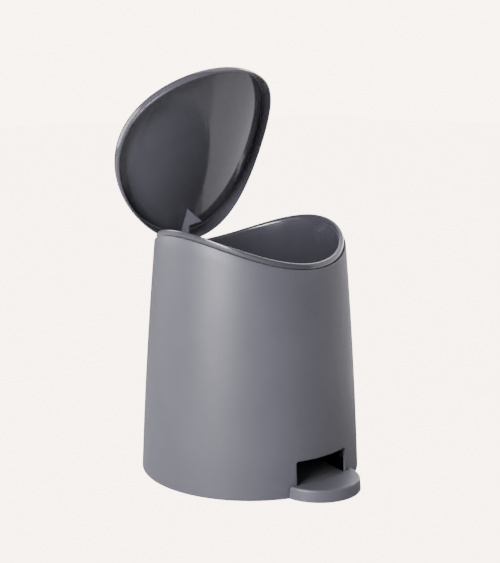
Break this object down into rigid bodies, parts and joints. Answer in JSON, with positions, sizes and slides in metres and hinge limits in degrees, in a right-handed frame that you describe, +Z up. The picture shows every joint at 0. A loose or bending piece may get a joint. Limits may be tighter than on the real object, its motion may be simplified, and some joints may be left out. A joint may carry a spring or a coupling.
{
  "type": "pedal trash can",
  "caption": "Round tapered pedal trash can with a saddle-shaped rim, lift-out bucket, hinged lid and half-round foot pedal.",
  "frame": {"origin": "centre of the flat underside of the base plate, on the floor", "axes": "+Z up; -Y points to the pedal at the front, +Y to the lid hinge at the back; +X follows by the right-hand rule"},
  "size_m": [0.2, 0.2318, 0.3619],
  "materials": {
    "shell_plastic": "warm grey moulded plastic, satin gloss",
    "lid_plastic": "warm grey moulded plastic, polished underside",
    "liner_plastic": "warm grey moulded plastic, satin gloss",
    "rod_plastic": "grey moulded plastic, plain",
    "lever_plastic": "dark grey moulded plastic, plain",
    "dark_plastic": "black moulded plastic, plain",
    "steel": "zinc-plated steel",
    "rubber": "soft black grip rubber"
  },
  "bodies": {
    "base": {"outer_shell": "shell_plastic", "base_plate": "dark_plastic", "base_screw_1": "steel", "base_screw_2": "steel", "base_screw_3": "steel", "base_screw_4": "steel", "grip_pad_1": "rubber", "grip_pad_2": "rubber", "grip_pad_3": "rubber", "grip_pad_4": "rubber", "rod_guide_lower": "dark_plastic", "rod_guide_upper": "dark_plastic", "inner_bucket": "liner_plastic", "pedal_axle": "steel", "axle_clip_left": "steel", "axle_clip_right": "steel", "hinge_pin": "steel"},
    "lid": {"lid": "lid_plastic"},
    "rod": {"push_rod": "rod_plastic"},
    "pedal": {"pedal_lever": "lever_plastic", "pedal_tread": "shell_plastic", "tread_screw_1": "steel", "tread_screw_2": "steel"}
  },
  "joints": [
    {"name": "lid_hinge", "type": "hinge", "parent": "base", "child": "lid", "pos_m": [0, 0.09224, 0.1944], "axis": [1, 0, 0], "range_deg": [0, 65.8]},
    {"name": "rod_slide", "type": "slide", "parent": "base", "child": "rod", "axis": [0, 0, 1], "range_m": [-0.01631, 0]},
    {"name": "pedal_pivot", "type": "hinge", "parent": "base", "child": "pedal", "pos_m": [0, -0.0076, 0.017], "axis": [1, 0, 0], "range_deg": [-10.68, 0]}
  ],
  "couplings": [
    {"joint": "rod_slide", "follows": "lid_hinge", "m_per_rad": -0.014196},
    {"joint": "pedal_pivot", "follows": "lid_hinge", "ratio": -0.16224}
  ]
}
